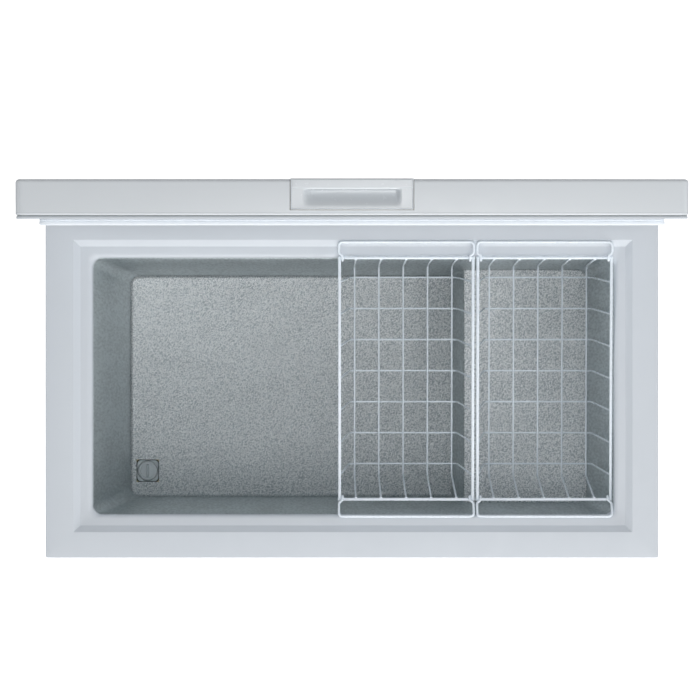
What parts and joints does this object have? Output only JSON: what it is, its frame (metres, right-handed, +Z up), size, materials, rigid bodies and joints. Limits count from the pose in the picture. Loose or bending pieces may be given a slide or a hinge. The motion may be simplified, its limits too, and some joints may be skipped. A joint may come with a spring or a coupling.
{
  "type": "chest freezer",
  "caption": "White chest freezer with its lid open, an embossed aluminium tub with a step, and hanging wire baskets.",
  "frame": {"origin": "on the floor, under the centre of the object's box with the lid open as stored", "axes": "+X to the right along the front, +Y to the hinge side, +Z up; the front faces -Y"},
  "size_m": [0.945, 0.5902, 1.3686],
  "materials": {
    "white_paint": "satin",
    "white_plastic": "satin",
    "foam": "matte",
    "embossed_aluminium": "satin",
    "galvanised_steel": "satin",
    "black_enamel": "satin",
    "black_rubber": "matte",
    "gasket_rubber": "matte",
    "copper": "satin",
    "coated_wire": "gloss",
    "grey_plastic": "satin",
    "black_plastic": "matte",
    "lens_green": "gloss",
    "lens_amber": "gloss",
    "lens_red": "gloss"
  },
  "bodies": {
    "cabinet": {"outer_wrap": "white_paint", "back_panel": "galvanised_steel", "bottom_panel": "galvanised_steel", "compartment_panel": "galvanised_steel", "compressor_base_plate": "galvanised_steel", "service_cover": "galvanised_steel", "evaporator_tube": "galvanised_steel", "cabinet_foam": "foam", "liner": "embossed_aluminium", "top_frame": "white_plastic", "hinge_cover_left": "white_plastic", "hinge_cover_right": "white_plastic", "condenser_tube": "copper", "filter_dryer": "copper", "suction_line": "copper", "discharge_line": "copper", "capillary_tube": "copper", "compressor": "black_enamel", "start_relay": "black_plastic", "thermostat_body": "black_plastic", "grommet_front_left": "black_rubber", "foot_front_left": "black_rubber", "grommet_front_right": "black_rubber", "foot_front_right": "black_rubber", "grommet_back_left": "black_rubber", "foot_back_left": "black_rubber", "grommet_back_right": "black_rubber", "foot_back_right": "black_rubber", "vent_grille": "grey_plastic", "control_panel": "grey_plastic", "drain_fitting": "grey_plastic", "drain_tube": "grey_plastic", "inlet_gland": "black_rubber", "indicator_green": "lens_green", "indicator_amber": "lens_amber", "indicator_red": "lens_red", "hinge_body_left": "galvanised_steel", "hinge_pin_left": "galvanised_steel", "hinge_spring_left": "galvanised_steel", "hinge_body_right": "galvanised_steel", "hinge_pin_right": "galvanised_steel", "hinge_spring_right": "galvanised_steel"},
    "lid": {"lid_shell": "white_paint", "lid_foam": "foam", "lid_inner_panel": "white_plastic", "lid_gasket": "gasket_rubber", "lid_handle": "white_plastic", "hinge_arm_left": "galvanised_steel", "hinge_arm_right": "galvanised_steel"},
    "thermostat_knob": {"thermostat_knob": "white_plastic"},
    "drain_plug": {"drain_plug": "grey_plastic"},
    "drain_cap": {"drain_cap": "black_rubber"},
    "basket_left": {"basket_left": "coated_wire"},
    "basket_left_handle_back": {"basket_left_handle_back": "coated_wire"},
    "basket_left_handle_front": {"basket_left_handle_front": "coated_wire"},
    "basket_right": {"basket_right": "coated_wire"},
    "basket_right_handle_back": {"basket_right_handle_back": "coated_wire"},
    "basket_right_handle_front": {"basket_right_handle_front": "coated_wire"}
  },
  "joints": [
    {"name": "lid_hinge", "type": "hinge", "parent": "cabinet", "child": "lid", "pos_m": [0, 0.25976, 0.819], "axis": [-1, 0, 0], "range_deg": [-87.3, 2.5]},
    {"name": "basket_left_lift", "type": "slide", "parent": "cabinet", "child": "basket_left", "axis": [0, 0, 1], "range_m": [0, 0.25]},
    {"name": "basket_left_handle_back_fold", "type": "hinge", "parent": "basket_left", "child": "basket_left_handle_back", "pos_m": [0.0838, 0.17956, 0.7845], "axis": [1, 0, 0], "range_deg": [0, 95]},
    {"name": "basket_left_handle_front_fold", "type": "hinge", "parent": "basket_left", "child": "basket_left_handle_front", "pos_m": [0.0838, -0.19374, 0.76167], "axis": [-1, 0, 0], "range_deg": [0, 75]},
    {"name": "basket_right_lift", "type": "slide", "parent": "cabinet", "child": "basket_right", "axis": [0, 0, 1], "range_m": [0, 0.25]},
    {"name": "basket_right_handle_back_fold", "type": "hinge", "parent": "basket_right", "child": "basket_right_handle_back", "pos_m": [0.2972, 0.17956, 0.7845], "axis": [1, 0, 0], "range_deg": [0, 95]},
    {"name": "basket_right_handle_front_fold", "type": "hinge", "parent": "basket_right", "child": "basket_right_handle_front", "pos_m": [0.2972, -0.19374, 0.76167], "axis": [-1, 0, 0], "range_deg": [0, 75]},
    {"name": "thermostat_turn", "type": "hinge", "parent": "cabinet", "child": "thermostat_knob", "pos_m": [0.365, -0.28325, 0.148], "axis": [0, -1, 0], "range_deg": [-135, 135]},
    {"name": "drain_plug_lift", "type": "slide", "parent": "cabinet", "child": "drain_plug", "axis": [0, 0, 1], "range_m": [0, 0.06]},
    {"name": "drain_cap_pull", "type": "slide", "parent": "cabinet", "child": "drain_cap", "axis": [0, -1, 0], "range_m": [0, 0.03]}
  ]
}
